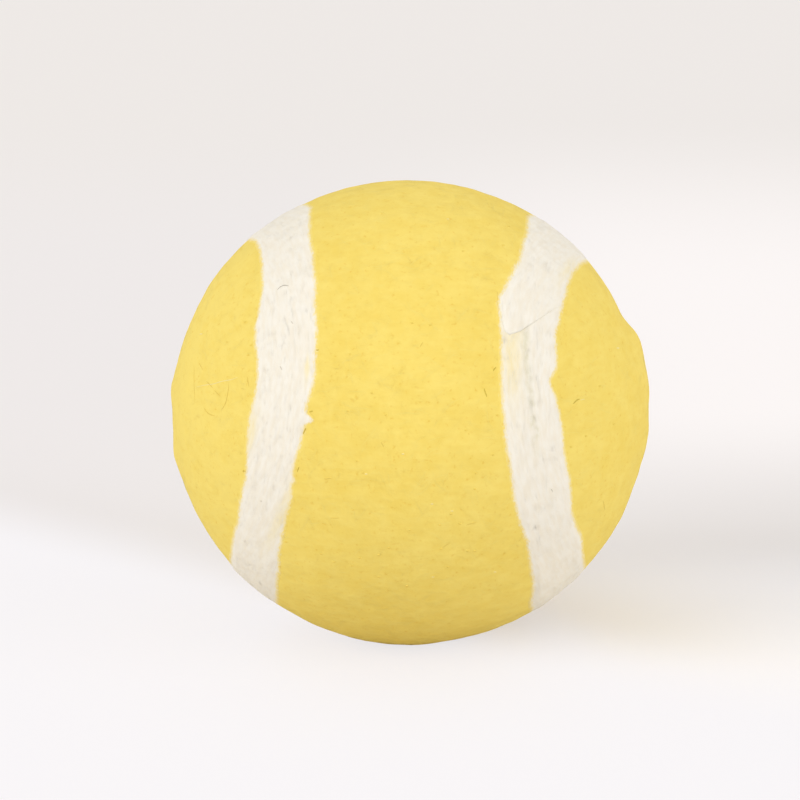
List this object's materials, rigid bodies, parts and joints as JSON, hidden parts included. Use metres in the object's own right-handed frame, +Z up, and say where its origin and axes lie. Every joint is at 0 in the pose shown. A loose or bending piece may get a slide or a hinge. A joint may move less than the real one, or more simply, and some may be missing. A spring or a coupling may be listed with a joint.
{
  "type": "felted wool tennis ball",
  "caption": "Hand-felted wool ball in a tennis-ball pattern: a yellow wool coat over undyed wool layers, with a cream wool band felted in along the seam line.",
  "frame": {"origin": "the middle of the flat that the ball sits on", "axes": "+Z up, -Y towards the waist of the band pattern, +X to the right of someone who looks at it"},
  "size_m": [0.067, 0.067, 0.0665],
  "materials": {
    "undyed_wool": "coarse undyed wool, felted firm",
    "yellow_wool": "butter-yellow wool, felted smooth with fine surface fibres",
    "cream_wool": "cream wool, combed along the band with ragged felted edges"
  },
  "bodies": {
    "root": {"core_ball": "undyed_wool", "first_wrap": "undyed_wool", "cross_wrap": "undyed_wool", "yellow_cover": "yellow_wool", "top_band_strip": "cream_wool", "left_band_strip": "cream_wool", "right_band_strip": "cream_wool"}
  },
  "joints": []
}
